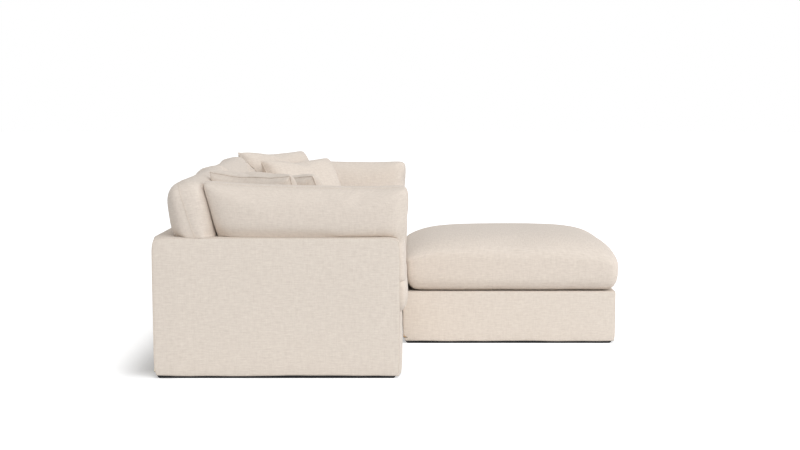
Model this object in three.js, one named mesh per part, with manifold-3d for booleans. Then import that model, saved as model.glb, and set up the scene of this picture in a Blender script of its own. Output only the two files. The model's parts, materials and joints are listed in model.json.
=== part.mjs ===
// A slipcovered sectional sofa: a left corner, an armless middle and a right corner module in a row, with a
// loose square ottoman before the middle one as its chaise. Millimetres, +X along the sofa to the right of
// someone who faces it, +Y to its back, +Z up, on z = 0 with the middle of its plan at the origin.

import * as THREE from 'three';
import { RoundedBoxGeometry } from 'three/addons/geometries/RoundedBoxGeometry.js';
import { mergeVertices } from 'three/addons/utils/BufferGeometryUtils.js';
import Module from 'manifold-3d';

const manifold = await Module();
manifold.setup();
const { Manifold, Mesh: SolidMesh } = manifold;

// Driving dimensions
const moduleSize = 1050; // width and depth of a seat module
const frameTop = 599; // top of the arm and back panels
const panelThick = 88; // an arm or back panel over its cover
const deckTop = 255; // where the seat cushions lie
const hemClearance = 12; // from the floor to the skirt's hem
const ottomanSize = 1040; // width and depth of the ottoman's base
const ottomanGap = 10; // from the sofa's front panels to the ottoman's base
const ottomanOffset = 45; // how far it stands left of the middle module's centre
const fit = 0.3; // between pieces that touch

// Layers of a panel or base, from the outside in
const skin = 6; // cover cloth with its lining and batting
const foam = 12; // wrap on the arm and back frames
const coreThick = panelThick - 2 * (skin + fit + foam + fit);
const edgeRadius = 12; // along every edge of the cover
const cornerRadius = 34; // at the top corners of an arm or back panel
const hemRadius = 18; // at its lower corners

// Underside
const skidTop = 28;
const skidWide = 46;
const skidRecess = 17; // from the panel's face to the skid
const skidJointRecess = 120; // clear of the brackets at a joint
const skidNose = 14;
const dustThick = 1.7;
const frameBottom = skidTop + fit + dustThick + fit;

// Base frame, springs and deck
const railThick = 25;
const stretcherHigh = 90;
const blockLeg = 85;
const padThick = 20;
const springArch = 10;
const wireRadius = 2;
const tieRadius = 1.4;
const wireSides = 3;
const clipWide = 14; // the clip strips that hold the springs' ends on the rails
const clipHigh = 6;
const springSwing = 26; // half the width of a spring's loops
const springCount = 4;
const springWaves = 6;
const tieShares = [0.3, 0.7]; // along the springs
const padTop = deckTop - skin - fit;
const wireTop = padTop - padThick - fit;
const springLow = wireTop - wireRadius - springArch; // middle of the wire at its ends
const railTop = springLow - clipHigh / 2 - fit;

// Arm and back frames
const plyThick = 6;
const postWide = 48;
const postShares = [0, 1 / 3, 2 / 3, 1];
const panelRail = 60;

// Brackets that hook the modules together
const plateThick = 3;
const plateLong = 70;
const plateWide = 64;
const plateSetback = 8; // from the joint to the plate
const tongueWide = 40;
const tongueReach = 52;
const tongueRound = 9;
const bracketShares = [0.2, 0.8]; // along the side of a module
const notchSpare = 4;

// Seat and ottoman cushions
const seatOverhang = 36;
const seatCorner = 165; // height at a corner over the deck
const seatCrown = 240;
const ottomanOverhang = 12;
const ottomanCorner = 165;
const ottomanCrown = 277;
const crownPower = 3; // the higher, the flatter the crown and the faster it falls at the edges

// Back and arm cushions, which lean on the panels and lap over their tops
const cushionThick = 220;
const cushionFoot = 412; // height where their lower edges are tucked in
const backHeights = { left: 835, middle: 855, right: 850 }; // height of each top
const backLean = THREE.MathUtils.degToRad(15);
const backSetback = 95; // from the back panel's face to the middle of the cushion, at the panel's top
const armHeight = 820;
const armLean = THREE.MathUtils.degToRad(8);
const armRise = THREE.MathUtils.degToRad(1.3); // its top rises to the rear
const armMiddle = 124; // from the panel's face to the middle of the arm cushion, at the panel's top
const armSetback = 205; // from the module's back to the arm cushion's rear end
const armTuck = 85; // its rear end draws in this far at the foot
const lap = 10; // a cushion's end stays this far inside the module's face

// Throw pillows. The middle of each is given in shares: of the module's size from the arm's side and from the
// front, and of the height between the deck and the top of the middle back cushion
const smallPillow = 480;
const largePillow = 505;
const pillowThick = 165;
const pillowPiping = 6;
const pillowDent = 22;
const corners = {
  left: [
    {
      name: 'corner_pillow', size: smallPillow,
      placeShares: [0.446, 0.596, 0.622], lean: 20, turn: 45, roll: 1,
    },
    {
      name: 'front_pillow', size: smallPillow,
      placeShares: [0.574, 0.453, 0.628], lean: 26, turn: 45, roll: -1,
    },
  ],
  right: [
    {
      name: 'corner_pillow', size: largePillow,
      placeShares: [0.475, 0.661, 0.622], lean: 24, turn: 49, roll: 0,
    },
    {
      name: 'front_pillow', size: largePillow,
      placeShares: [0.738, 0.497, 0.619], lean: 30, turn: 44, roll: 0,
    },
  ],
};

const linen = new THREE.MeshStandardMaterial({ color: 0xded3c8, roughness: 0.95 });
const linenShade = new THREE.MeshStandardMaterial({ color: 0xd6cabd, roughness: 0.95 });
const hardwood = new THREE.MeshStandardMaterial({ color: 0xc9a77c, roughness: 0.6 });
const springSteel = new THREE.MeshStandardMaterial({ color: 0x7d8287, roughness: 0.4, metalness: 0.8 });
const zincPlate = new THREE.MeshStandardMaterial({ color: 0xaeb2b5, roughness: 0.35, metalness: 0.9 });
const foamMaterial = new THREE.MeshStandardMaterial({ color: 0xefe7cf, roughness: 0.9 });
const felt = new THREE.MeshStandardMaterial({ color: 0xa9a59c, roughness: 0.95 });
const cambric = new THREE.MeshStandardMaterial({ color: 0x1f1f20, roughness: 0.95 });
const blackPlastic = new THREE.MeshStandardMaterial({ color: 0x1a1a1b, roughness: 0.55 });

// Solids for joining and cutting
function solid(geometry) {
  const bare = geometry.clone();
  bare.deleteAttribute('normal');
  bare.deleteAttribute('uv');
  const merged = mergeVertices(bare);
  return new Manifold(new SolidMesh({
    numProp: 3,
    vertProperties: new Float32Array(merged.getAttribute('position').array),
    triVerts: new Uint32Array(merged.index.array),
  }));
}

function geometryOf(body) {
  const { vertProperties, triVerts } = body.getMesh();
  const geometry = new THREE.BufferGeometry();
  geometry.setAttribute('position', new THREE.BufferAttribute(vertProperties, 3));
  geometry.setIndex(new THREE.BufferAttribute(triVerts, 1));
  geometry.computeVertexNormals();
  return geometry;
}

const join = (bodies) => bodies.reduce((whole, body) => whole.add(body));
const cut = (body, tools) => tools.reduce((rest, tool) => rest.subtract(tool), body);

// A cut through soft forms can leave crumbs, so only the largest body stays
function largest(body) {
  return body.decompose().reduce((best, piece) => (piece.volume() > best.volume() ? piece : best));
}

function mesh(name, shape, material, position = [0, 0, 0]) {
  const geometry = shape instanceof THREE.BufferGeometry ? shape : geometryOf(shape);
  const result = new THREE.Mesh(geometry, material);
  result.name = name;
  result.position.set(...position);
  return result;
}

// Boxes are given as { x: [from, to], y: [from, to], z: [from, to] }
const spanOf = ([from, to]) => to - from;
const middleOf = ([from, to]) => (from + to) / 2;
const grown = ({ x, y, z }, by) => ({
  x: [x[0] - by, x[1] + by], y: [y[0] - by, y[1] + by], z: [z[0] - by, z[1] + by],
});

function box({ x, y, z }, radius = 0) {
  const sizes = [spanOf(x), spanOf(y), spanOf(z)];
  const roundSteps = 2;
  const geometry = radius
    ? new RoundedBoxGeometry(...sizes, roundSteps, radius)
    : new THREE.BoxGeometry(...sizes);
  return solid(geometry.translate(middleOf(x), middleOf(y), middleOf(z)));
}

// A plate across one axis, its outline rounded at two pairs of corners and its edges rounded over
function plate(room, across, topRadius, bottomRadius, edge = 0, arcSteps = 4) {
  const order = { x: ['y', 'z', 'x'], y: ['z', 'x', 'y'], z: ['x', 'y', 'z'] }[across];
  const [wide, high, thick] = order.map((axis) => spanOf(room[axis]));
  const radii = across === 'y'
    ? [bottomRadius, topRadius, topRadius, bottomRadius]
    : [bottomRadius, bottomRadius, topRadius, topRadius];
  const outline = new THREE.Shape([[-1, -1], [1, -1], [1, 1], [-1, 1]].flatMap(([u, v], i) => {
    const radius = radii[i];
    return Array.from({ length: radius ? arcSteps + 1 : 1 }, (_, step) => {
      const angle = Math.PI * (1 + i / 2 + step / arcSteps / 2);
      return new THREE.Vector2(
        u * (wide / 2 - radius) + radius * Math.cos(angle),
        v * (high / 2 - radius) + radius * Math.sin(angle),
      );
    });
  }));
  const geometry = new THREE.ExtrudeGeometry(outline, {
    depth: thick - 2 * edge, bevelEnabled: edge > 0, bevelSegments: 2,
    bevelSize: edge, bevelThickness: edge, bevelOffset: -edge,
  });
  geometry.translate(0, 0, edge - thick / 2);
  const axes = {
    x: new THREE.Vector3(1, 0, 0), y: new THREE.Vector3(0, 1, 0), z: new THREE.Vector3(0, 0, 1),
  };
  geometry.applyMatrix4(new THREE.Matrix4().makeBasis(...order.map((axis) => axes[axis])));
  return solid(geometry.translate(middleOf(room.x), middleOf(room.y), middleOf(room.z)));
}

// A straight or wavy wire along a path
function wire(path, radius, steps) {
  const section = new THREE.Shape(Array.from({ length: wireSides }, (_, i) => {
    const angle = 2 * Math.PI * i / wireSides;
    return new THREE.Vector2(radius * Math.cos(angle), radius * Math.sin(angle));
  }));
  return solid(new THREE.ExtrudeGeometry(section, { steps, extrudePath: path }));
}

class SpringPath extends THREE.Curve {
  constructor(x, y, z) {
    super();
    Object.assign(this, { x, y, z });
  }

  getPoint(t, target = new THREE.Vector3()) {
    return target.set(
      this.x + springSwing * Math.sin(2 * Math.PI * springWaves * t),
      this.y[0] + spanOf(this.y) * t,
      this.z + springArch * 4 * t * (1 - t),
    );
  }

  // Even steps in t keep the loops alike
  getUtoTmapping(u) {
    return u;
  }
}

// Rooms of a module, in its own frame: x from 0 to its width, y from 0 at the front. side is -1 or 1 where an
// arm stands on the left or the right, and 0 where there is none
function mirrored(range, side, width) {
  return side > 0 ? [width - range[1], width - range[0]] : range;
}

function moduleRooms({ width, depth, side, hasBack, joints }) {
  const outside = {
    x: [joints.left ? fit / 2 : 0, width - (joints.right ? fit / 2 : 0)],
    y: [0, depth],
    z: [hemClearance, deckTop],
  };
  const layers = skin + fit + foam + fit + coreThick + fit;
  const frame = {
    x: [outside.x[0] + (side < 0 ? layers : skin + fit), outside.x[1] - (side > 0 ? layers : skin + fit)],
    y: [skin + fit, depth - (hasBack ? layers : skin + fit)],
    z: [frameBottom, railTop],
  };
  const arm = side && {
    x: mirrored([0, panelThick], side, width), y: [0, depth], z: [hemClearance, frameTop],
  };
  const back = hasBack && { x: outside.x, y: [depth - panelThick, depth], z: [hemClearance, frameTop] };
  return { width, depth, side, joints, outside, frame, arm, back };
}

// What the cover wraps, each room grown a little, down past the hem. The base ends inside the panels
function wrapped(rooms, by) {
  const { outside, arm, back, side, width, depth } = rooms;
  const low = outside.z[0] - edgeRadius;
  const inPanel = panelThick / 2;
  const x = [side < 0 ? inPanel : outside.x[0], side > 0 ? width - inPanel : outside.x[1]];
  const y = [0, back ? depth - inPanel : depth];
  const parts = [box(grown({ x, y, z: [low, outside.z[1]] }, by), edgeRadius + by)];
  if (arm) {
    const room = grown({ ...arm, z: [low, arm.z[1]] }, by);
    parts.push(plate(room, 'x', cornerRadius + by, hemRadius + by, edgeRadius));
  }
  if (back) {
    const room = grown({ x, y: back.y, z: [low, back.z[1]] }, by);
    parts.push(plate(room, 'y', cornerRadius + by, hemRadius + by, edgeRadius));
  }
  return join(parts);
}

function hollow(rooms) {
  const deep = -hemClearance;
  const inset = (room) => ({ ...grown(room, -skin), z: [deep, room.z[1] - skin] });
  const parts = [box(inset(rooms.outside))];
  for (const [room, across] of [[rooms.arm, 'x'], [rooms.back, 'y']]) {
    if (room) parts.push(plate(inset(room), across, cornerRadius - skin, 0));
  }
  return join(parts);
}

function notches(rooms) {
  const half = plateWide / 2 + notchSpare;
  const found = [];
  for (const share of bracketShares) {
    const y = [share * rooms.depth - half, share * rooms.depth + half];
    const z = [-hemClearance, skidTop + fit];
    if (rooms.joints.left) found.push(box({ x: [-skin, 2 * skin], y, z }));
    if (rooms.joints.right) found.push(box({ x: [rooms.width - 2 * skin, rooms.width + skin], y, z }));
  }
  return found;
}

function slipcover(rooms) {
  const outer = wrapped(rooms, 0);
  const { x, y } = grown(rooms.outside, edgeRadius);
  const underHem = box({ x, y, z: [-hemClearance, hemClearance] });
  return cut(outer, [hollow(rooms), underHem, ...notches(rooms)]);
}

// Four rails, two stretchers and a triangular block in each corner
function cornerBlock(u, v, room) {
  const corner = [u < 0 ? room.x[0] + railThick : room.x[1] - railThick,
    v < 0 ? room.y[0] + railThick : room.y[1] - railThick];
  const outline = new THREE.Shape();
  outline.moveTo(corner[0] + u * railThick / 2, corner[1] + v * railThick / 2);
  outline.lineTo(corner[0] - u * blockLeg, corner[1] + v * railThick / 2);
  outline.lineTo(corner[0] - u * blockLeg, corner[1]);
  outline.lineTo(corner[0], corner[1] - v * blockLeg);
  outline.lineTo(corner[0] + u * railThick / 2, corner[1] - v * blockLeg);
  const geometry = new THREE.ExtrudeGeometry(outline, { depth: stretcherHigh, bevelEnabled: false });
  return solid(geometry.translate(0, 0, room.z[1] - stretcherHigh - springArch));
}

function baseFrame(room) {
  const { x, y, z } = room;
  const well = { x: [x[0] + railThick, x[1] - railThick], y: [y[0] + railThick, y[1] - railThick] };
  const ring = cut(box(room), [box({ ...well, z: [z[0] - railThick, z[1] + railThick] })]);
  const stretchers = [1, 2].map((i) => {
    const centre = x[0] + i * spanOf(x) / 3;
    const low = z[1] - springArch - stretcherHigh;
    return box({
      x: [centre - railThick / 2, centre + railThick / 2],
      y: [well.y[0] - railThick / 2, well.y[1] + railThick / 2],
      z: [low, low + stretcherHigh],
    });
  });
  const blocks = [[-1, -1], [1, -1], [-1, 1], [1, 1]].map(([u, v]) => cornerBlock(u, v, room));
  return join([ring, ...stretchers, ...blocks]);
}

// Sinuous springs from the front rail to the back rail, held in clip strips on the rails and by two tie wires
function springDeck({ x, y }) {
  const ends = [y[0] + railThick / 2, y[1] - railThick / 2];
  const reach = [x[0] + railThick, x[1] - railThick];
  const pitch = spanOf(reach) / springCount;
  const stepsPerWave = 6;
  const springs = Array.from({ length: springCount }, (_, i) => (
    wire(
      new SpringPath(reach[0] + (i + 1 / 2) * pitch, ends, springLow), wireRadius, springWaves * stepsPerWave,
    )
  ));
  const ties = tieShares.map((share) => {
    const height = springLow + springArch * 4 * share * (1 - share);
    const at = ends[0] + share * spanOf(ends);
    return wire(new THREE.LineCurve3(
      new THREE.Vector3(reach[0], at, height), new THREE.Vector3(reach[1], at, height),
    ), tieRadius, 1);
  });
  const clips = ends.map((at) => box({
    x: reach,
    y: [at - clipWide / 2, at + clipWide / 2],
    z: [springLow - clipHigh / 2, springLow + clipHigh / 2],
  }));
  return join([...springs, ...ties, ...clips]);
}

// A hardwood frame with a plywood face on its outer side, open between its posts on the inner one
function panelFrame(room, across, outerSide) {
  const along = across === 'x' ? 'y' : 'x';
  const body = plate(room, across, cornerRadius - skin - foam, 0);
  const first = room[along][0] + postWide / 2;
  const run = spanOf(room[along]) - postWide;
  const pockets = postShares.slice(1).map((share, i) => {
    const pocket = {
      z: [room.z[0] + panelRail, room.z[1] - panelRail],
      [along]: [first + postShares[i] * run + postWide / 2, first + share * run - postWide / 2],
      [across]: outerSide < 0
        ? [room[across][0] + plyThick, room[across][1] + plyThick]
        : [room[across][0] - plyThick, room[across][1] - plyThick],
    };
    return box(pocket);
  });
  return cut(body, pockets);
}

// The foam wrap over a panel's frame, open below, with no inner wall beside the base
function foamWrap(room, core, across, innerSide) {
  const outer = plate(room, across, cornerRadius - skin, 0);
  const inner = { ...grown(core, fit), z: [core.z[0] - panelThick, core.z[1] + fit] };
  const beside = innerSide > 0
    ? [core[across][1], core[across][1] + panelThick]
    : [core[across][0] - panelThick, core[across][0]];
  const along = across === 'x' ? 'y' : 'x';
  const base = {
    z: [core.z[0] - panelThick, deckTop - skin], [across]: beside, [along]: grown(room, panelThick)[along],
  };
  return cut(outer, [plate(inner, across, cornerRadius - skin - foam, 0), box(base)]);
}

function armPieces(name, rooms) {
  const { arm, side } = rooms;
  const wrapRoom = { ...grown(arm, -skin - fit), z: [frameBottom, arm.z[1] - skin - fit] };
  const core = { ...grown(wrapRoom, -foam - fit), z: [frameBottom, wrapRoom.z[1] - foam - fit] };
  return [
    mesh(`${name}_arm_frame`, panelFrame(core, 'x', side), hardwood),
    mesh(`${name}_arm_foam`, foamWrap(wrapRoom, core, 'x', -side), foamMaterial),
  ];
}

function backPieces(name, rooms) {
  const { back, side, width } = rooms;
  const inner = mirrored([side ? panelThick - skin : back.x[0] + skin + fit, width], side, width);
  const free = grown(back, -skin - fit);
  const x = [Math.max(inner[0], free.x[0]), Math.min(inner[1], free.x[1])];
  const wrapRoom = { x, y: free.y, z: [frameBottom, free.z[1]] };
  const core = { ...grown(wrapRoom, -foam - fit), z: [frameBottom, wrapRoom.z[1] - foam - fit] };
  return [
    mesh(`${name}_back_frame`, panelFrame(core, 'y', 1), hardwood),
    mesh(`${name}_back_foam`, foamWrap(wrapRoom, core, 'y', -1), foamMaterial),
  ];
}

// A black runner along the module's depth, with rounded noses, flat on the floor
function skid(depth) {
  const half = depth / 2 - skidRecess;
  const room = { x: [-skidWide / 2, skidWide / 2], y: [-half, half], z: [0, skidTop] };
  return geometryOf(plate(room, 'x', 0, skidNose));
}

function basePieces(name, rooms) {
  const { frame, outside, width, depth, side, joints } = rooms;
  const lining = grown(outside, -skin - fit);
  const recess = (joined) => skidWide / 2 + (joined ? skidJointRecess : skidRecess);
  const runner = skid(depth);
  return [
    mesh(`${name}_slipcover`, slipcover(rooms), linen),
    mesh(`${name}_base_frame`, baseFrame(frame), hardwood),
    mesh(`${name}_spring_deck`, springDeck(frame), springSteel),
    mesh(`${name}_deck_pad`, box({ ...frame, z: [padTop - padThick, padTop] }), felt),
    mesh(`${name}_dust_cover`, box({ ...lining, z: [skidTop + fit, skidTop + fit + dustThick] }), cambric),
    mesh(`${name}_skid_left`, runner, blackPlastic, [recess(joints.left), depth / 2, 0]),
    mesh(`${name}_skid_right`, runner, blackPlastic, [width - recess(joints.right), depth / 2, 0]),
    ...(side ? armPieces(name, rooms) : []),
    ...(rooms.back ? backPieces(name, rooms) : []),
  ];
}

// Points of a box mesh over -1 to 1, closer together near its edges, moved to a form of the unit box
function formed(segments, place) {
  const geometry = new THREE.BoxGeometry(2, 2, 2, ...segments);
  const position = geometry.getAttribute('position');
  const edgeBias = 1.2;
  const ease = (s) => Math.sin(edgeBias * s) / Math.sin(edgeBias);
  for (let i = 0; i < position.count; i += 1) {
    position.setXYZ(i, ...place(ease(position.getX(i)), ease(position.getY(i)), ease(position.getZ(i))));
  }
  return geometry;
}

// A unit box with soft edges, seen on the face across w: the higher a power, the tighter the corners of the
// outline or the edges around the face are
function softened(u, v, w, outlinePower, edgePower) {
  const rim = (Math.abs(u) ** outlinePower + Math.abs(v) ** outlinePower) ** (1 / outlinePower);
  const scale = (rim ** edgePower + Math.abs(w) ** edgePower) ** (-1 / edgePower);
  return [u * scale, v * scale, w * scale];
}

// A cushion that lies flat: low at its corners, higher along its edges, crowned in the middle and tight at
// its foot
function lyingCushion({ x, y, foot, corner, crown }) {
  const outlinePower = 16;
  const edgePower = 7;
  const footPower = 14;
  return solid(formed([8, 8, 4], (u, v, w) => {
    const [a, b, c] = softened(u, v, w, outlinePower, w < 0 ? footPower : edgePower);
    const fall = (Math.abs(a) ** crownPower + Math.abs(b) ** crownPower) / 2;
    const high = corner + (crown - corner) * (1 - fall);
    return [
      middleOf(x) + spanOf(x) / 2 * a,
      middleOf(y) + spanOf(y) / 2 * b,
      foot + high * (c + 1) / 2,
    ];
  }));
}

// A cushion that stands: width along x, thickness along y, its faces crowned and its sides drawn in. Where a
// tuck is given, one end draws in that far at the foot
function standingCushion({ wide, thick, high, tuck = 0 }, by = 0) {
  const outlinePower = 14;
  const edgePower = 3;
  const edgeShare = 0.84;
  const drawShare = 0.02;
  return formed([8, 3, 6], (u, v, w) => {
    const [a, c, b] = softened(u, w, v, outlinePower, edgePower);
    const full = edgeShare + (1 - edgeShare) * (1 - a * a) * (1 - c * c);
    const toEnd = (1 + Math.sign(tuck) * a) / 2;
    const toFoot = (1 - c) / 2;
    return [
      (wide / 2 + by) * a * (1 - drawShare * (1 - c * c)) - tuck * toEnd * toEnd * toFoot * toFoot,
      (thick / 2 + by) * b * full,
      (high / 2 + by) * c * (1 - drawShare * (1 - a * a)),
    ];
  });
}

// A throw pillow with a piped knife edge, drawn-in sides and a dent pressed into its top edge
function pillow(size, by = 0) {
  const drawShare = 0.05;
  const fullness = 0.5;
  const dentWide = 0.45;
  return formed([9, 1, 9], (u, v, w) => {
    const swell = Math.max(0, (1 - u * u) * (1 - w * w)) ** fullness;
    const dent = pillowDent * Math.exp(-((u / dentWide) ** 2)) * ((w + 1) / 2) ** 3;
    return [
      (size / 2 + by) * u * (1 - drawShare * (1 - w * w)),
      Math.sign(v) * (pillowPiping / 2 + by + (pillowThick - pillowPiping) / 2 * swell),
      (size / 2 + by) * w * (1 - drawShare * (1 - u * u)) - dent,
    ];
  });
}

// A leaning solid, turned about the upright from facing the front, at a place
function leaning(geometry, { at, lean, turn = 0, roll = 0 }) {
  geometry.applyMatrix4(new THREE.Matrix4().makeRotationY(roll));
  geometry.applyMatrix4(new THREE.Matrix4().makeRotationX(-lean));
  geometry.applyMatrix4(new THREE.Matrix4().makeRotationZ(turn));
  return solid(geometry.translate(...at));
}

function seatCushion(rooms, by = 0) {
  const arm = panelThick + fit;
  const { side, width, outside } = rooms;
  const left = side < 0 ? arm : outside.x[0];
  const right = side > 0 ? width - arm : outside.x[1];
  return lyingCushion({
    x: [left - by, right + by],
    y: [-seatOverhang - by, rooms.depth - panelThick - fit + by],
    foot: deckTop + fit - by,
    corner: seatCorner + 2 * by,
    crown: seatCrown + 2 * by,
  });
}

function backCushion(name, rooms, by = 0) {
  const { side, width, depth, outside } = rooms;
  const x = [side < 0 ? lap : outside.x[0], side > 0 ? width - lap : outside.x[1]];
  const top = backHeights[name];
  const middle = (cushionFoot + top) / 2;
  const form = standingCushion({
    wide: spanOf(x), thick: cushionThick, high: (top - cushionFoot) / Math.cos(backLean),
  }, by);
  const back = depth - panelThick - backSetback;
  return leaning(form, {
    at: [middleOf(x), back + (middle - frameTop) * Math.tan(backLean), middle], lean: backLean,
  });
}

function armCushion(rooms, by = 0) {
  const { side, width, depth } = rooms;
  const rear = depth - armSetback;
  const middle = (cushionFoot + armHeight) / 2;
  const across = armMiddle - (middle - frameTop) * Math.tan(armLean);
  const form = standingCushion({
    wide: rear + seatOverhang,
    thick: cushionThick,
    high: (armHeight - cushionFoot) / Math.cos(armLean),
    tuck: -side * armTuck,
  }, by);
  return leaning(form, {
    at: [side > 0 ? width - across : across, (rear - seatOverhang) / 2, middle],
    lean: armLean,
    turn: -side * Math.PI / 2,
    roll: side * armRise,
  });
}

function throwPillow(rooms, { size, placeShares, lean, turn, roll }, by = 0) {
  const { side, width, depth } = rooms;
  const degrees = THREE.MathUtils.degToRad;
  const [across, back, up] = placeShares;
  return leaning(pillow(size, by), {
    at: [
      side > 0 ? width * (1 - across) : width * across,
      depth * back,
      deckTop + (backHeights.middle - deckTop) * up,
    ],
    lean: degrees(lean),
    turn: -side * degrees(turn),
    roll: degrees(roll),
  });
}

// Each soft piece gives way to those set before it, with the small gap of pieces that touch
function softPieces(name, rooms) {
  const cover = wrapped(rooms, fit);
  const seat = seatCushion(rooms);
  const pieces = [mesh(`${name}_seat_cushion`, largest(cut(seat, [cover])), linen)];
  const before = [cover, seatCushion(rooms, fit)];
  const set = (piece, build) => {
    pieces.push(mesh(`${name}_${piece}`, largest(cut(build(0), before)), linenShade));
    before.push(build(fit));
  };
  set('back_cushion', (by) => backCushion(name, rooms, by));
  if (rooms.side) {
    set('arm_cushion', (by) => armCushion(rooms, by));
    corners[name].forEach((spec) => set(spec.name, (by) => throwPillow(rooms, spec, by)));
  }
  return pieces;
}

// The ottoman's cushion hangs over its base, and touches the seat cushion behind it
function ottomanCushion(width, depth) {
  return lyingCushion({
    x: [-ottomanOverhang, width + ottomanOverhang],
    y: [-ottomanOverhang, depth + ottomanGap - seatOverhang - fit],
    foot: deckTop + fit, corner: ottomanCorner, crown: ottomanCrown,
  });
}

// A socket plate with a bridge under it, and a tongue plate that reaches across the joint into the bridge
function bracketPlate(x) {
  return { x, y: [-plateWide / 2, plateWide / 2], z: [skidTop - plateThick, skidTop] };
}

function bracketSocket() {
  const upper = bracketPlate([-plateSetback - plateLong, -plateSetback]);
  const floor = upper.z[0] - plateThick - 2 * fit;
  const bridge = {
    x: [-plateSetback - tongueReach, -plateSetback], y: upper.y, z: [floor - plateThick, upper.z[1]],
  };
  const slot = {
    x: [bridge.x[0] - plateThick, bridge.x[1] + plateThick],
    y: [-tongueWide / 2 - fit, tongueWide / 2 + fit],
    z: [floor, upper.z[0]],
  };
  return geometryOf(cut(join([plate(upper, 'z', tongueRound, tongueRound, 0, 2), box(bridge)]), [box(slot)]));
}

function bracketTongue() {
  const upper = bracketPlate([plateSetback, plateSetback + plateLong]);
  const tongue = {
    x: [-tongueReach, plateSetback + plateLong / 2], y: [-tongueWide / 2, tongueWide / 2],
    z: [upper.z[0] - fit - plateThick, upper.z[0] - fit],
  };
  const step = { ...tongue, x: [plateSetback, tongue.x[1]], z: [tongue.z[0], upper.z[1]] };
  return geometryOf(join([
    plate(upper, 'z', tongueRound, tongueRound, 0, 2),
    plate(tongue, 'z', tongueRound, tongueRound, 0, 2),
    box(step),
  ]));
}

function brackets(jointName, x) {
  const socket = bracketSocket();
  const tongue = bracketTongue();
  return bracketShares.flatMap((share, i) => {
    const end = ['front', 'rear'][i];
    const at = [x, share * moduleSize, 0];
    return [
      mesh(`${jointName}_${end}_bracket_socket`, socket, zincPlate, at),
      mesh(`${jointName}_${end}_bracket_tongue`, tongue, zincPlate, at),
    ];
  });
}

function seatModule(name, index, side) {
  const rooms = moduleRooms({
    width: moduleSize, depth: moduleSize, side, hasBack: true, joints: { left: index > 0, right: index < 2 },
  });
  const group = new THREE.Group();
  group.position.x = (index - 1.5) * moduleSize;
  return group.add(...basePieces(name, rooms), ...softPieces(name, rooms));
}

function ottoman() {
  const rooms = moduleRooms({
    width: ottomanSize, depth: ottomanSize, side: 0, hasBack: false, joints: { left: false, right: false },
  });
  const group = new THREE.Group();
  group.position.set(-ottomanSize / 2 - ottomanOffset, -ottomanGap - ottomanSize, 0);
  const cushion = cut(ottomanCushion(ottomanSize, ottomanSize), [wrapped(rooms, fit)]);
  return group.add(...basePieces('ottoman', rooms), mesh('ottoman_cushion', largest(cushion), linen));
}

const sofa = new THREE.Group();
sofa.add(
  seatModule('left', 0, -1),
  seatModule('middle', 1, 0),
  seatModule('right', 2, 1),
  ottoman(),
  ...brackets('left_joint', -moduleSize / 2),
  ...brackets('right_joint', moduleSize / 2),
);

// The middle of the plan goes to the origin
const plan = new THREE.Box3().setFromObject(sofa, true).getCenter(new THREE.Vector3());
sofa.position.set(-plan.x, -plan.y, 0);

export default sofa;
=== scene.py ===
# %% [markdown]
# # A slipcovered sectional sofa
# Three seat modules stand in a row, a left corner, an armless middle and a right corner, and a loose square
# ottoman stands before the middle one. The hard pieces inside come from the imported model. Every soft piece
# is made here, in metres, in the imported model's own places: the covers, the cushions, the throw pillows,
# their seams and stitches.

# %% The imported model
import json
import math

import bpy
import numpy as np
from mathutils import Matrix, Vector, kdtree, noise
from mathutils.bvhtree import BVHTree

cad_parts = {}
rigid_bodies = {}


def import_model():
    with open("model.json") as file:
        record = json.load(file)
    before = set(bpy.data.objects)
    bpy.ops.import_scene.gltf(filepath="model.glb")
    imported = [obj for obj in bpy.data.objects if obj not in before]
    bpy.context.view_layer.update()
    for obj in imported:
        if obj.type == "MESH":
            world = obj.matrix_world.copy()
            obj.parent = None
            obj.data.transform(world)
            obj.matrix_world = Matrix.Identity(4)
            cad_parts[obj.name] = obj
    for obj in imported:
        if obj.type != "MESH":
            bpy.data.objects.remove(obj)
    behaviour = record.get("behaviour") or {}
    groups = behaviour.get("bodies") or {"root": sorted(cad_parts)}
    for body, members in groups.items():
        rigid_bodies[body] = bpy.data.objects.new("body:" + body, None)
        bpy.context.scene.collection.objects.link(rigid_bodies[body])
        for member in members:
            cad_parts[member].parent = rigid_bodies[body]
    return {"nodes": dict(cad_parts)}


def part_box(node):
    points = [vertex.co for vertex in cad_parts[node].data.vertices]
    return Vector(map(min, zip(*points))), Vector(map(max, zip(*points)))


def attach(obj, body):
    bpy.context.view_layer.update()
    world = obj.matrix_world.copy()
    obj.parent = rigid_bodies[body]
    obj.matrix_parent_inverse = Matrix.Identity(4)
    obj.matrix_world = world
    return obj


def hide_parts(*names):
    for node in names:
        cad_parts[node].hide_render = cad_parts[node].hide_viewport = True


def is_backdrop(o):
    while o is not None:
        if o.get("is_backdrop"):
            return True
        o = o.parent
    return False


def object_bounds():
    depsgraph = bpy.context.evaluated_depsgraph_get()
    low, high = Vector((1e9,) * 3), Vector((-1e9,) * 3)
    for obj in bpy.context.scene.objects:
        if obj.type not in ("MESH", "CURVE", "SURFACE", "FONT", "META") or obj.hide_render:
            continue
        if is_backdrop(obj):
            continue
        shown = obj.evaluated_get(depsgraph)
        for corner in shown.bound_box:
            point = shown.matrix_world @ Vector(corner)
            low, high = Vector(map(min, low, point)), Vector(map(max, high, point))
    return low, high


for thing in list(bpy.data.objects):
    bpy.data.objects.remove(thing)
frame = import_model()
cad_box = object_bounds()
print("nodes", len(frame["nodes"]), "box", [round(v, 3) for corner in cad_box for v in corner])

# %% [markdown]
# ## Camera
# The picture looks at the sofa's left end, square on and a little from above, so the rows of cushions hide
# behind the near arm. A long lens from about seven metres keeps the near panel's edges straight. The camera
# looks along +X, from the height that puts the far arm just over the near one.

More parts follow.
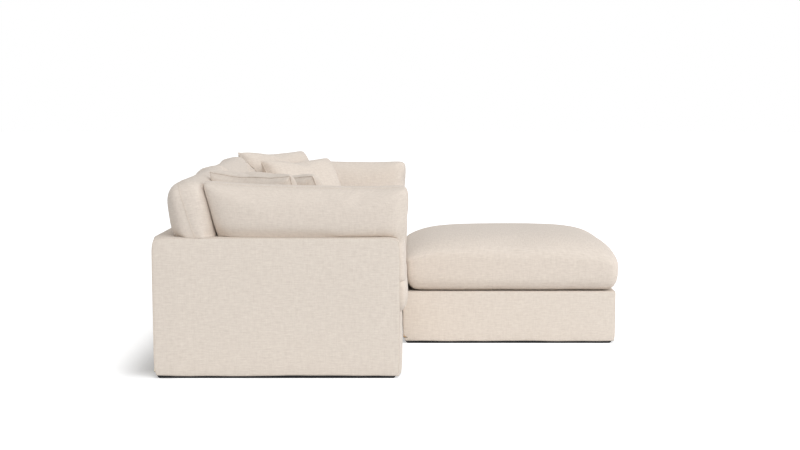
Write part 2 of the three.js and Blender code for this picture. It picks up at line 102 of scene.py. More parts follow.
# %% Camera
CAMERA_AWAY, CAMERA_HIGH, CAMERA_DOWN, LENS = 6.7344, 1.1572, 4.270, 72.11
near_end, front, rear_face = cad_box[0].x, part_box("left_slipcover")[0].y, cad_box[1].y
camera_data = bpy.data.cameras.new("camera")
camera_data.lens = LENS
camera = bpy.data.objects.new("camera", camera_data)
camera.location = (near_end - CAMERA_AWAY, front, CAMERA_HIGH)
camera.rotation_euler = (math.radians(90 - CAMERA_DOWN), 0, math.radians(-90))
bpy.context.collection.objects.link(camera)
scene = bpy.context.scene
scene.camera = camera
scene.view_settings.view_transform = "Standard"
print("camera", [round(v, 3) for v in camera.location])

# %% [markdown]
# ## Floor and light
# The studio is white and the light soft. About half of it comes from all round, most of the rest from a
# wide, soft sun over the camera, and a large lamp in front of the sofa brightens the fronts. The floor is a
# wide plane. To the camera it is lifted towards white, except in the soft shade behind the sofa, which
# stays.

# %% Floor and light
WHITE = (1, 1, 1, 1)
WORLD_LIGHT, SUN_LIGHT, SUN_WIDTH, LAMP_POWER = 0.50, 1.49, math.radians(50), 110
SUN_WAY, LAMP_PLACE, LAMP_AIM = (1.0, 0.38, -0.95), Vector((-2.4, -6.6, 2.6)), Vector((0, 0, 0.4))
SHADE_REACH, SHADE_FROM, SHADE_BACK, SHADE_SIDE = 0.34, 0.56, (-0.12, 0.0), (-0.18, 0.27)
FLOOR_LIFT, HALF_FLOOR = 0.50, 60


def node_of(tree, kind, **settings):
    """A new node with its settings. A kind with no family in its name is of the tree's own family"""
    family = tree.bl_idname.removesuffix("Tree")
    node = tree.nodes.new(kind if "Node" in kind else family + kind)
    for name, value in settings.items():
        setattr(node, name, value)
    return node


def linked(tree, kind, inputs=(), output=0, **settings):
    """A node with its inputs linked or set, by name or number, and one of its outputs"""
    node = node_of(tree, kind, **settings)
    for key, value in dict(inputs).items():
        if isinstance(value, bpy.types.NodeSocket):
            tree.links.new(value, node.inputs[key])
        else:
            node.inputs[key].default_value = value
    return node.outputs[output]


def math_of(tree, operation, *values, clamp=False):
    return linked(tree, "Math", enumerate(values), operation=operation, use_clamp=clamp)


def faded(tree, value, low, high, start=0.0, end=1.0):
    """A smooth step from start to end, while the value goes from low to high"""
    inputs = {"Value": value, "From Min": low, "From Max": high, "To Min": start, "To Max": end}
    return linked(tree, "MapRange", inputs, "Result", interpolation_type="SMOOTHSTEP")


def cleared(owner):
    owner.use_nodes = True
    owner.node_tree.nodes.clear()
    return owner.node_tree


def shown_as(tree, unseen, seen, output):
    """One shader for the light that spreads, and the other where the camera, a mirror or glass looks"""
    path = node_of(tree, "LightPath").outputs
    directly = math_of(tree, "MAXIMUM", path["Is Camera Ray"], path["Is Glossy Ray"])
    directly = math_of(tree, "MAXIMUM", directly, path["Is Transmission Ray"])
    mix = linked(tree, "MixShader", {0: directly, 1: unseen, 2: seen})
    tree.links.new(mix, node_of(tree, output).inputs["Surface"])


def studio_world():
    world = bpy.data.worlds.new("studio")
    tree = cleared(world)
    soft, white = (linked(tree, "Background", {"Color": WHITE, "Strength": strength})
                   for strength in (WORLD_LIGHT, 1.0))
    shown_as(tree, soft, white, "OutputWorld")
    scene.world = world


def floor_finish():
    """White paper. What the camera sees of it is lifted to white, and less so in the shade behind the sofa"""
    finish = bpy.data.materials.new("studio_floor")
    tree = cleared(finish)
    paint, bright = (linked(tree, "BsdfDiffuse", {"Color": colour})
                     for colour in ((0.86, 0.86, 0.86, 1), (0.86, 0.87, 0.88, 1)))
    openness = linked(tree, "AmbientOcclusion", {"Distance": SHADE_REACH}, "AO", samples=16)
    place = node_of(tree, "SeparateXYZ")
    tree.links.new(linked(tree, "NewGeometry", output="Position"), place.inputs[0])
    unshaded = faded(tree, openness, SHADE_FROM, 1.0)
    edges = (("Y", rear_face, SHADE_BACK), ("X", near_end, SHADE_SIDE))
    in_front, beside = (faded(tree, place.outputs[axis], edge + low, edge + high, 1.0, 0.0)
                        for axis, edge, (low, high) in edges)
    lifted = math_of(tree, "MAXIMUM", unshaded, math_of(tree, "MAXIMUM", in_front, beside))
    strength = math_of(tree, "MULTIPLY", lifted, FLOOR_LIFT)
    lift = linked(tree, "Emission", {"Color": WHITE, "Strength": strength})
    lit = linked(tree, "AddShader", {0: bright, 1: lift})
    shown_as(tree, paint, lit, "OutputMaterial")
    return finish


def lamp_of(name, kind, at, way, **settings):
    data = bpy.data.lights.new(name, kind)
    for key, value in settings.items():
        setattr(data, key, value)
    lamp = bpy.data.objects.new(name, data)
    lamp.location = at
    lamp.rotation_euler = Vector(way).to_track_quat("-Z", "Y").to_euler()
    bpy.context.collection.objects.link(lamp)


studio_world()
floor_mesh = bpy.data.meshes.new("studio_floor")
corners = [(x * HALF_FLOOR, y * HALF_FLOOR, 0) for x, y in ((-1, -1), (1, -1), (1, 1), (-1, 1))]
floor_mesh.from_pydata(corners, [], [(0, 1, 2, 3)])
floor = bpy.data.objects.new("studio_floor", floor_mesh)
floor.data.materials.append(floor_finish())
bpy.context.collection.objects.link(floor)
floor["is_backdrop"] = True
lamp_of("front_lamp", "AREA", LAMP_PLACE, LAMP_AIM - LAMP_PLACE, shape="RECTANGLE", size=4.5, size_y=3.0,
        energy=LAMP_POWER)
lamp_of("window_wall", "SUN", (0, 0, 0), SUN_WAY, energy=SUN_LIGHT, angle=SUN_WIDTH)
print("floor", HALF_FLOOR * 2, "m wide, a lamp and a sun")

# %% [markdown]
# ## Finishes
# The linen is a plain weave of uneven threads. Each cover and cushion carries its own UV map in metres,
# laid out panel by panel as the cloth is cut, so the threads turn with the panels. Two sine waves give the
# threads, stretched noise gives the thicker slubs in both directions, and a slow noise gives the patches
# that are a shade lighter or darker.

# %% Linen
THREAD = 0.0017


def blank_finish(name, **uniform):
    """A new material with a Principled shader, its uniform values set on the shader itself"""
    finish = bpy.data.materials.new(name)
    finish.use_nodes = True
    shader = finish.node_tree.nodes["Principled BSDF"]
    for socket, value in uniform.items():
        shader.inputs[socket.replace("_", " ")].default_value = value
    return finish, finish.node_tree, shader


def scaled(tree, vector, scale):
    return linked(tree, "Mapping", {"Vector": vector, "Scale": scale})


def noise_of(tree, vector, scale, detail=2.0, rough=0.5):
    inputs = {"Vector": vector, "Scale": scale, "Detail": detail, "Roughness": rough}
    return linked(tree, "TexNoise", inputs, "Fac")


def coloured(rgb):
    """A colour given as it looks on a screen, from 0 to 255, as the shader wants it"""
    return tuple(((c / 255 + 0.055) / 1.055) ** 2.4 for c in rgb)


def toned(tree, shader, factor, dark, light):
    """The shader's colour, between two that are given from 0 to 255"""
    ends = {"A": (*coloured(dark), 1), "B": (*coloured(light), 1)}
    tone = linked(tree, "Mix", {"Factor": factor} | ends, "Result", data_type="RGBA")
    tree.links.new(tone, shader.inputs["Base Color"])


def raised(tree, shader, height, strength, distance):
    inputs = {"Height": height, "Strength": strength, "Distance": distance}
    bump = linked(tree, "Bump", inputs, "Normal")
    tree.links.new(bump, shader.inputs["Normal"])


def linen(name, dark, light, uses_uv=True):
    finish, tree, shader = blank_finish(name, Roughness=0.93, Sheen_Weight=0.12, Sheen_Roughness=0.5,
                                        Specular_IOR_Level=0.18)
    if uses_uv:
        place = linked(tree, "UVMap", output="UV", uv_map="cloth")
    else:
        place = linked(tree, "TexCoord", output="Object")
    split = node_of(tree, "SeparateXYZ")
    tree.links.new(place, split.inputs[0])
    turns = [math_of(tree, "MULTIPLY", split.outputs[i], math.pi / THREAD) for i in (0, 1)]
    waves = [math_of(tree, "SINE", turn) for turn in turns]
    weave = math_of(tree, "MULTIPLY_ADD", math_of(tree, "MULTIPLY", waves[0], waves[1]), 0.5, 0.5)
    weft = noise_of(tree, scaled(tree, place, (22, 260, 22)), 1.0, 3.0, 0.62)
    warp = noise_of(tree, scaled(tree, place, (300, 16, 16)), 1.0, 3.0, 0.62)
    slubs = math_of(tree, "MULTIPLY_ADD", weft, 0.66, math_of(tree, "MULTIPLY", warp, 0.34))
    patches = noise_of(tree, place, 62.0, 3.0, 0.6)
    shade = math_of(tree, "MULTIPLY_ADD", slubs, 1.5, -0.36)
    shade = math_of(tree, "MULTIPLY_ADD", math_of(tree, "SUBTRACT", patches, 0.5), 0.6, shade)
    shade = math_of(tree, "MULTIPLY_ADD", weave, 0.22, shade, clamp=True)
    toned(tree, shader, shade, dark, light)
    raised(tree, shader, math_of(tree, "MULTIPLY_ADD", slubs, 1.6, weave), 0.4, 0.0006)
    return finish


linen_cover = linen("linen_cover", (208, 196, 185), (238, 229, 218))
linen_cushion = linen("linen_cushion", (206, 194, 183), (237, 227, 216))
linen_seam = linen("linen_seam", (202, 189, 177), (233, 222, 210), uses_uv=False)
print("linen finishes", [m.name for m in (linen_cover, linen_cushion, linen_seam)])

# %% [markdown]
# The thread is a shade lighter than the cloth and has a slight gloss, with a twist along it. The pieces
# inside the covers keep the imported model's shapes and only get their finishes: planed hardwood with long
# grain, drawn spring wire, zinc plate with its crystal patches, open-cell foam, grey felt, the black dust
# cloth and the moulded runners. The near-black of the dust cloth and the runners is partly their own colour
# and partly painted shade, for the dark strip under the hems.

# %% Other finishes
def from_object(tree, scale=(1, 1, 1)):
    return scaled(tree, linked(tree, "TexCoord", output="Object"), scale)


def thread_finish():
    finish, tree, shader = blank_finish("sewing_thread", Roughness=0.55, Sheen_Weight=0.1)
    twist = noise_of(tree, from_object(tree, (900, 900, 900)), 1.0, 1.0)
    toned(tree, shader, twist, (214, 202, 190), (242, 234, 224))
    raised(tree, shader, twist, 0.3, 0.0003)
    return finish


def hardwood_finish(name, dark, light):
    finish, tree, shader = blank_finish(name, Roughness=0.55, Coat_Weight=0.05)
    grain = noise_of(tree, from_object(tree, (5, 95, 95)), 1.0, 6.0, 0.6)
    inputs = {"Vector": from_object(tree, (0.6, 3, 3)), "Scale": 9.0, "Distortion": 5.0, "Detail": 3.0}
    rings = linked(tree, "TexWave", inputs, "Fac", bands_direction="Z")
    figure = math_of(tree, "MULTIPLY_ADD", rings, 0.35, math_of(tree, "MULTIPLY", grain, 0.75), clamp=True)
    toned(tree, shader, figure, dark, light)
    raised(tree, shader, grain, 0.25, 0.0008)
    return finish


def metal_finish(name, dark, light, patch_scale, rough, cells):
    finish, tree, shader = blank_finish(name, Metallic=0.9)
    place = from_object(tree)
    tone = fine = noise_of(tree, place, patch_scale * 6, 3.0)
    if cells:
        patch = linked(tree, "TexVoronoi", {"Vector": place, "Scale": patch_scale}, "Distance")
        tone = math_of(tree, "MULTIPLY_ADD", fine, 0.4, math_of(tree, "MULTIPLY", patch, 1.1), clamp=True)
    toned(tree, shader, tone, dark, light)
    tree.links.new(math_of(tree, "MULTIPLY_ADD", tone, 0.2, rough), shader.inputs["Roughness"])
    raised(tree, shader, fine, 0.12, 0.0004)
    return finish


def fibre_finish(name, dark, light, scale, rough, relief):
    finish, tree, shader = blank_finish(name, Roughness=rough, Specular_IOR_Level=0.25)
    fine = noise_of(tree, from_object(tree), scale, 5.0, 0.65)
    broad = noise_of(tree, from_object(tree), scale / 22, 2.0)
    tone = math_of(tree, "MULTIPLY_ADD", math_of(tree, "SUBTRACT", broad, 0.5), 0.5, fine, clamp=True)
    toned(tree, shader, tone, dark, light)
    raised(tree, shader, fine, 0.5, relief)
    return finish


INNER = {
    "hardwood": (hardwood_finish, (150, 111, 72), (214, 180, 136)),
    "spring_steel": (metal_finish, (92, 96, 101), (150, 155, 160), 90, 0.3, False),
    "zinc_plate": (metal_finish, (150, 154, 158), (206, 209, 212), 120, 0.28, True),
    "foam": (fibre_finish, (218, 205, 165), (246, 238, 214), 700, 0.95, 0.0015),
    "felt": (fibre_finish, (122, 118, 111), (182, 178, 170), 420, 0.97, 0.0012),
    # The dust cloth and the runners are near-black: partly their own colour, partly painted shade for the
    # dark strip under the hems.
    "cambric": (fibre_finish, (16, 16, 17), (42, 42, 44), 900, 0.9, 0.0004),
    "black_plastic": (fibre_finish, (18, 18, 19), (38, 38, 40), 1200, 0.5, 0.0002),
}
sewing_thread = thread_finish()
inner_finishes = {name: make(name, *values) for name, (make, *values) in INNER.items()}
painted = 0
for name, node in frame["nodes"].items():
    for holder in node.material_slots:
        wanted = holder.material.name.split(".")[0] if holder.material else ""
        if wanted in inner_finishes:
            holder.material = inner_finishes[wanted]
            painted += 1
print("packed pieces painted", painted)

# %% [markdown]
# ## Meshes for cloth
# Every soft piece starts as a net of quads, as a pattern cutter would rule it: closer together near the
# seams, where cloth bends most. Each net keeps its flat UV map, and marks the points on its seams in an
# attribute, so that seams and stitches can be made along them at the end, after all the bending.

# %% Nets
def eased(count):
    """Places from -1 to 1, closer together towards the ends, the more so the larger the bias"""
    bias = 1.2
    return np.sin(bias * np.linspace(-1, 1, count + 1)) / math.sin(bias)


def ring_of(axis, level, p, q):
    """The four places on the grid round a quad that looks along an axis"""
    ring = []
    for right, up in ((0, 0), (1, 0), (1, 1), (0, 1)):
        spot = [0, 0, 0]
        spot[axis], spot[(axis + 1) % 3], spot[(axis + 2) % 3] = level, p + right, q + up
        ring.append(tuple(spot))
    return ring


def net(counts):
    """Quads over a box: its points, their places on the grid, the faces and the axis each face looks along"""
    ease = [eased(c) for c in counts]
    index, grid = {}, []
    for spot in np.ndindex(*(count + 1 for count in counts)):
        if any(place in (0, count) for place, count in zip(spot, counts)):
            index[spot] = len(grid)
            grid.append(spot)
    faces, axes = [], []
    for axis in range(3):
        for end in (0, counts[axis]):
            for p in range(counts[(axis + 1) % 3]):
                for q in range(counts[(axis + 2) % 3]):
                    ring = [index[spot] for spot in ring_of(axis, end, p, q)]
                    faces.append(ring if end else ring[::-1])
                    axes.append(axis)
    grid = np.array(grid)
    unit = np.stack([ease[a][grid[:, a]] for a in range(3)], axis=1)
    return unit, grid, faces, axes


def cloth_mesh(name, points, faces, flat, axes, seam):
    """A mesh with a UV map in metres and its seam points marked. flat is where each point is on the cloth"""
    mesh = bpy.data.meshes.new(name)
    mesh.from_pydata([tuple(p) for p in points], [], faces)
    layer = mesh.uv_layers.new(name="cloth")
    corner = 0
    for face, axis in zip(faces, axes):
        u, v = ((1, 2), (0, 2), (0, 1))[axis]
        for point in face:
            layer.data[corner].uv = (flat[point][u], flat[point][v])
            corner += 1
    mark = mesh.attributes.new("seam", "FLOAT", "POINT")
    mark.data.foreach_set("value", np.asarray(seam, dtype=float))
    mesh.shade_smooth()
    return mesh


def shown(name, mesh):
    piece = bpy.data.objects.new(name, mesh)
    bpy.context.collection.objects.link(piece)
    return piece


def places_of(mesh, kind="co"):
    """The place of each point, or its normal"""
    places = np.empty(len(mesh.vertices) * 3)
    mesh.vertices.foreach_get(kind, places)
    return places.reshape(-1, 3)


def put(mesh, places):
    mesh.vertices.foreach_set("co", np.asarray(places, dtype=float).ravel())
    mesh.update()


def as_mesh(holder, name):
    """The object's mesh with its modifiers applied. The object is removed"""
    graph = bpy.context.evaluated_depsgraph_get()
    result = bpy.data.meshes.new_from_object(holder.evaluated_get(graph), preserve_all_data_layers=True,
                                             depsgraph=graph)
    bpy.data.objects.remove(holder)
    result.name = name
    return result


def modified(mesh, name, kind, **settings):
    """The mesh with one modifier applied"""
    holder = shown("working", mesh)
    modifier = holder.modifiers.new("step", kind)
    for key, value in settings.items():
        setattr(modifier, key, value)
    return as_mesh(holder, name)


def undulation(place, seed):
    """A slow unevenness, from -1 to 1, as batting and feathers give it"""
    shift = Vector((seed * 3.7, seed * 1.9, seed * 5.3))
    broad = noise.noise(Vector(place) * 3.4 + shift)
    fine = noise.noise(Vector(place) * 10.5 - shift)
    return broad + 0.35 * fine


small_net = net((4, 3, 2))
print("a small net:", len(small_net[0]), "points", len(small_net[2]), "quads")

# %% [markdown]
# ## Covers
# A slipcover is sewn from flat panels over a boxed base, an arm and a back. Its net is the skin of those
# blocks, which are cut into cells and keep only the faces that look outwards, so the concave corners where
# cushions are tucked in come out clean. Then the cloth's own habits are added: rounded top corners, a
# slight fullness over the batting, a skirt that draws in towards its hem and waves a little. Solidify gives
# the cloth its thickness, hem included.

# %% Block skins
PANEL, DECK, SOFT_EDGE = 0.088, 0.255, 0.012
TOP_CORNER, HEM_CLEAR, SAME = 0.034, 0.010, 1e-4
FULL_IN, PRESSED_FLAT, FULL_FRONT, FULL_SIDE = 0.11, (-0.0006, 0.0003), (0.013, 0.0025), (0.003, 0.0022)
SKIRT_HIGH, DRAW_HIGH, TUCK_HIGH, RIPPLE_HIGH = 0.24, 0.45, 0.02, 0.06
HEM_WAVE, HEM_RIPPLE, OTTOMAN_DRAW = 0.004, 0.0035, 0.001
HANG = {(1, 1): (0.006, 0.011), (1, -1): (0.002, 0.004), (0, -1): (0.003, 0.005), (0, 1): (0.003, 0.005)}
SIDES = {"left": -1, "middle": 0, "right": 1, "ottoman": 0}


def ruled(marks, spacing):
    """Lines between the marks: one a soft edge away from each, and even ones between"""
    lines = set()
    for low, high in zip(marks, marks[1:]):
        lines.update((low, high))
        if high - low > 3 * SOFT_EDGE:
            first, last = low + SOFT_EDGE, high - SOFT_EDGE
            count = max(1, round((last - first) / spacing))
            lines.update(np.linspace(first, last, count + 1))
    return sorted(lines)


def block_skin(rooms, spacing=0.026):
    lines = []
    for axis in range(3):
        marks = sorted({round(corner[axis], 7) for room in rooms for corner in room})
        lines.append(ruled(marks, spacing))
    middles = [(np.array(row[1:]) + np.array(row[:-1])) / 2 for row in lines]
    filled = np.zeros([len(m) + 2 for m in middles], bool)
    for low, high in rooms:
        inside = [np.where((m > low[a]) & (m < high[a]))[0] + 1 for a, m in enumerate(middles)]
        filled[np.ix_(*inside)] = True
    index, points, quads, axes, ways = {}, [], [], [], []
    for cell in np.argwhere(filled):
        for axis in range(3):
            for way in (-1, 1):
                beside = cell.copy()
                beside[axis] += way
                under_hem = axis == 2 and way < 0 and cell[2] == 1
                if filled[tuple(beside)] or under_hem:
                    continue
                p, q = cell[(axis + 1) % 3] - 1, cell[(axis + 2) % 3] - 1
                ring = []
                for spot in ring_of(axis, cell[axis] - 1 + (way > 0), p, q):
                    if spot not in index:
                        index[spot] = len(points)
                        points.append([lines[a][spot[a]] for a in range(3)])
                    ring.append(index[spot])
                quads.append(ring if way > 0 else ring[::-1])
                axes.append(axis)
                ways.append(way)
    return np.array(points), quads, axes, ways


def round_corner(points, pair, centre, way, weight):
    """Draws the square corner beyond the centre in to a quarter circle, in the plane of the pair of axes"""
    reach = (points[:, pair] - centre) * way
    over = np.all(reach > 1e-6, axis=1)
    length = np.hypot(reach[:, 0], reach[:, 1])
    length[length == 0] = 1
    square = reach.max(axis=1)
    target = reach * (square / length)[:, None]
    move = (target - reach) * way * weight[:, None]
    points[over[:, None] & np.isin(np.arange(3), pair)[None, :]] += move[over].ravel()


def cover_rooms(name, side, low, high):
    """The blocks under a cover: the base, and the arm and the back where the module has them"""
    rooms = [(low, np.array([high[0], high[1], DECK]))]
    if side:
        arm = (low.copy(), high.copy())
        arm[side < 0][0] = low[0] + PANEL if side < 0 else high[0] - PANEL
        rooms.append(arm)
    if name != "ottoman":
        rooms.append((np.array([low[0], high[1] - PANEL, low[2]]), high))
    return rooms


def fullness(axis, way, place, joints):
    """How far a panel bulges at its middle, and how unevenly. Joint sides and decks are pressed flat"""
    at_joint = axis == 0 and any(abs(place[0] - x) < SAME for x in joints)
    if at_joint or axis == 2 and abs(place[2] - DECK) < SAME:
        return PRESSED_FLAT
    return FULL_FRONT if axis == 1 and way < 0 and place[2] < DECK else FULL_SIDE


def hung(name, seed, points, start, low, high, joints):
    """Draws each side of the skirt in towards its hem, and lets it wave. HANG says how far, for each side"""
    height = start[:, 2] - low[2]
    hang = np.clip(1 - height / SKIRT_HIGH, 0, 1)
    for (axis, way), (slope, tuck) in HANG.items():
        end = (low, high)[way > 0][axis]
        if axis == 0 and any(abs(end - x) < SAME for x in joints):
            continue
        facing = np.abs(start[:, axis] - end) < SAME
        draw = slope * np.clip(1 - height / DRAW_HIGH, 0, 1) + tuck * np.exp(-height / TUCK_HIGH)
        wave = np.array([noise.noise(Vector((p[0] * 5, p[1] * 5, seed * 7.1 + axis))) for p in start])
        if name == "ottoman":
            draw += OTTOMAN_DRAW * np.sin(math.pi * np.clip(height / SKIRT_HIGH, 0, 1))
        points[facing, axis] -= way * (draw - HEM_WAVE * wave * hang ** 2)[facing]
    ripple = np.array([noise.noise(Vector((p[0] * 7, p[1] * 7, seed * 2.3))) for p in start])
    points[:, 2] += HEM_RIPPLE * ripple * np.clip(1 - height / RIPPLE_HIGH, 0, 1)


def rounded_tops(side, points, start, low, high, joints):
    """Rounds the upper corners of the back at its joints, and of an arm at its front and its rear"""
    top = high[2] - TOP_CORNER
    in_back = (start[:, 1] > high[1] - PANEL - SAME).astype(float)
    tops = []
    for x in joints:
        way = math.copysign(1, x - (low[0] + high[0]) / 2)
        tops.append(([0, 2], (x - way * TOP_CORNER, top), (way, 1), in_back))
    if side:
        across = np.abs(start[:, 0] - (low, high)[side > 0][0])
        in_arm = across < PANEL + SAME
        tops.append(([1, 2], (low[1] + TOP_CORNER, top), (-1, 1), in_arm.astype(float)))
        tops.append(([1, 2], (high[1] - TOP_CORNER, top), (1, 1), in_arm * np.clip(1 - across / PANEL, 0, 1)))
    for pair, centre, way, weight in tops:
        round_corner(points, pair, np.array(centre), np.array(way), weight)


def cover_skin(name, seed):
    side = SIDES[name]
    low, high = (np.array(corner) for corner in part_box(f"{name}_slipcover"))
    start, quads, axes, ways = block_skin(cover_rooms(name, side, low, high))
    points = start.copy()
    around = [set() for _ in points]
    for face, axis, way in zip(quads, axes, ways):
        for point in face:
            around[point].add((axis, way))
    on_edge = np.array([len({axis for axis, way in found}) > 1 for found in around])
    edges = kdtree.KDTree(int(on_edge.sum()))
    for i in np.flatnonzero(on_edge):
        edges.insert(points[i], int(i))
    edges.balance()
    joints = {"left": [high[0]], "middle": [low[0], high[0]], "right": [low[0]], "ottoman": []}[name]
    for i in np.flatnonzero(~on_edge):
        (axis, way), = around[i]
        inland = min(1.0, edges.find(start[i])[2] / FULL_IN)
        inland = inland * inland * (3 - 2 * inland)
        full, uneven = fullness(axis, way, start[i], joints)
        points[i, axis] += way * inland * (full + uneven * undulation(start[i], seed))
    hung(name, seed, points, start, low, high, joints)
    rounded_tops(side, points, start, low, high, joints)
    seam = on_edge & (start[:, 2] > low[2] + HEM_CLEAR)
    mesh = cloth_mesh(f"{name}_slipcover_cloth", points, quads, start, axes, seam)
    hem = mesh.attributes.new("hem", "FLOAT", "POINT")
    level = sorted(set(np.round(start[:, 2], 6)))[1]
    hem.data.foreach_set("value", (np.abs(start[:, 2] - level) < 1e-5).astype(float))
    return mesh


cover_skins = {name: cover_skin(name, 1 + i) for i, name in enumerate(SIDES)}
print({name: len(mesh.polygons) for name, mesh in cover_skins.items()})

# %% [markdown]
# ## Cushions at rest
# A seat cushion and the ottoman's lie flat on the deck under a crowned top, with one seam low on their
# sides. The back and arm cushions have one seam round the middle of their edge. All start from a box with
# soft edges: one power says how tight its outline's corners are, another how tight its edges are, and the
# crown is added to it.

# %% Cushion forms
MODULE = 1.05
starts = {"left": -1.5 * MODULE, "middle": -0.5 * MODULE, "right": 0.5 * MODULE}
FIT, SEAM_LEAN, OVERHANG = 0.0003, 0.3, 0.036
ROUND_END, SOFT_END, FULL_END = 8, 20, 36
WAIST, WAIST_REACH = 0.018, 0.030
FOOT_INSET, BULGE_HEIGHT = 0.042, 0.09
LYING_OUTLINE, FOOT_EDGE, TOP_EDGE, CROWN_POWER = 28, 16, 7, 3.6
LYING_CORNER, SEAT_CROWN, OTTOMAN_CROWN, OTTOMAN_REAR_EDGE = 0.165, 0.240, 0.279, 20
OTTOMAN_PROUD_SIDE, OTTOMAN_PROUD_FRONT, OTTOMAN_SHORT = 0.016, 0.018, 0.0265
CUSHION_CAP = 0.012
SEAT_FILL, OTTOMAN_FILL, STANDING_FILL, PILLOW_FILL = 0.8, 0.85, 0.75, 0.65
LYING_ROWS, STANDING_ROWS = 12, (12, 22)


def soft_box(u, v, w, outline, edge):
    """A unit box with soft edges. A higher power makes the outline's corners, or the edges, tighter"""
    rim = (np.abs(u) ** outline + np.abs(v) ** outline) ** (1 / outline)
    scale = (rim ** edge + np.abs(w) ** edge) ** (-1 / edge)
    return np.stack([u * scale, v * scale, w * scale])


def lying_form(unit, x, y, foot, corner, crown, rear=TOP_EDGE):
    """A crowned top over sides that bulge from a narrower foot. rear is the power of its edge at the back"""
    u, v, w = unit.T
    top_edge = TOP_EDGE + (rear - TOP_EDGE) * np.clip(v, 0, 1) ** 2
    a, b, c = soft_box(u, v, w, LYING_OUTLINE, np.where(w < 0, FOOT_EDGE, top_edge))
    high = corner + (crown - corner) * (1 - (np.abs(a) ** CROWN_POWER + np.abs(b) ** CROWN_POWER) / 2)
    up = high * (c + 1) / 2
    inset = FOOT_INSET * np.clip(1 - up / BULGE_HEIGHT, 0, 1) ** 2
    return np.stack([
        (x[0] + x[1]) / 2 + ((x[1] - x[0]) / 2 - inset) * a,
        (y[0] + y[1]) / 2 + ((y[1] - y[0]) / 2 - inset) * b,
        foot + up,
    ], axis=1)


def standing_form(unit, wide, high, ends, rest, tuck):
    """Round along its top and foot and squarer over its two ends. ends are the powers of the corners there.
    rest is the height, from the middle, where the panel presses it in a little, and tuck draws one end in at
    the foot. The middle rows shift back at the top and forward at the foot, so the seam leans more"""
    u, v, w = unit.T
    v = v + SEAM_LEAN * w * (1 - v * v)
    edge = 3 + 3 * u ** 8 / (u ** 8 + w ** 8 + 1e-9)
    a, c, b = np.where(u < 0, soft_box(u, w, v, ends[0], edge), soft_box(u, w, v, ends[1], edge))
    full = 0.84 + 0.16 * (1 - a * a) * (1 - c * c)
    drawn_in = tuck * ((1 + math.copysign(1, tuck) * a) / 2) ** 2 * (1 - c) / 2
    waist = WAIST * np.exp(-((high / 2 * c - rest) / WAIST_REACH) ** 2) * np.clip(b, 0, 1)
    return np.stack([wide / 2 * a - drawn_in, CUSHION_THICK / 2 * b * full - waist, high / 2 * c], axis=1)


def rising(unit):
    """0 on a lying cushion's underside, which the deck holds flat, to 1 on its upper half"""
    up = np.clip((unit[:, 2] + 1) / 0.9, 0, 1)
    return (up * up * (3 - 2 * up))[:, None]


def at_ends(grid, counts, axes):
    return np.any([(grid[:, axis] == 0) | (grid[:, axis] == counts[axis]) for axis in axes], axis=0)


def foot_seam(grid, counts):
    """The loop low on a lying cushion's side, where the top and side cloth meets the bottom panel"""
    return at_ends(grid, counts, (0, 1)) & (grid[:, 2] == 2)


def middle_seam(grid, counts):
    """The one loop round the middle of a cushion's edge, across its thickness"""
    return at_ends(grid, counts, (0, 2)) & (grid[:, 1] == counts[1] // 2)


def placed(at, lean=0.0, turn=0.0, roll=0.0):
    return (Matrix.Translation(at) @ Matrix.Rotation(turn, 4, "Z") @ Matrix.Rotation(-lean, 4, "X")
            @ Matrix.Rotation(roll, 4, "Y"))


def moved(points, matrix):
    return points @ np.array(matrix.to_3x3()).T + np.array(matrix.translation)


def bag_of(name, counts, form, half, seam, place, cap, fill):
    """What is known of a cushion: its net and form, half its size for the cloth's map, its seam, its place"""
    unit, grid, faces, axes = net(counts)
    return dict(name=name, points=form(unit), faces=faces, axes=axes, unit=unit, half=half,
                seam=seam(grid, counts), place=place, cap=cap, fill=fill)


def lying_cushion(name, count, half, fill, *form):
    bag = bag_of(name, (count, count, LYING_ROWS), lambda unit: lying_form(unit, *form), half, foot_seam,
                 Matrix.Identity(4), CUSHION_CAP, fill)
    bag["free"] = rising(bag["unit"])
    return bag


def span(name, outer):
    """From where to where a cushion goes along the sofa. outer is what it leaves free at the sofa's end"""
    x0, side = starts[name], SIDES[name]
    return x0 + (outer if side < 0 else FIT), x0 + MODULE - (outer if side > 0 else FIT)


def seat_cushion(name):
    left, right = span(name, PANEL + FIT)
    return lying_cushion(f"{name}_seat_cushion", 44, ((right - left) / 2, 0.5, 0.08), SEAT_FILL,
                         (left, right), (front - OVERHANG, front + MODULE - PANEL - FIT), DECK + FIT,
                         LYING_CORNER, SEAT_CROWN)


def ottoman_cushion():
    low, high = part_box("ottoman_slipcover")
    return lying_cushion("ottoman_cushion", 46, (0.515, 0.515, 0.09), OTTOMAN_FILL,
                         (low.x - OTTOMAN_PROUD_SIDE, high.x + OTTOMAN_PROUD_SIDE),
                         (low.y - OTTOMAN_PROUD_FRONT, front - OTTOMAN_SHORT), DECK + FIT, LYING_CORNER,
                         OTTOMAN_CROWN, OTTOMAN_REAR_EDGE)


CUSHION_THICK, CUSHION_FOOT, PANEL_TOP = 0.220, 0.412, 0.599
BACK_TOPS = {"left": 0.847, "middle": 0.862, "right": 0.808}
BACK_ROLLS = {"left": -0.7, "middle": -0.7, "right": 4.2}
BACK_LEAN, BACK_SETBACK = math.radians(9.5), 0.082
ARM_TOP, ARM_LEAN, ARM_RISE, ARM_MIDDLE = 0.820, math.radians(8), math.radians(1.3), 0.124
ARM_REAR, ARM_FRONT, ARM_TUCK, LAP = MODULE - 0.206, 0.027, 0.100, 0.010


def standing_cushion(name, wide, high, place, count, ends, tuck=0.0):
    rest = PANEL_TOP - place.translation.z
    return bag_of(name, (count, *STANDING_ROWS),
                  lambda unit: standing_form(unit, wide, high, ends, rest, tuck),
                  (wide / 2, CUSHION_THICK / 2, high / 2), middle_seam, place, CUSHION_CAP, STANDING_FILL)


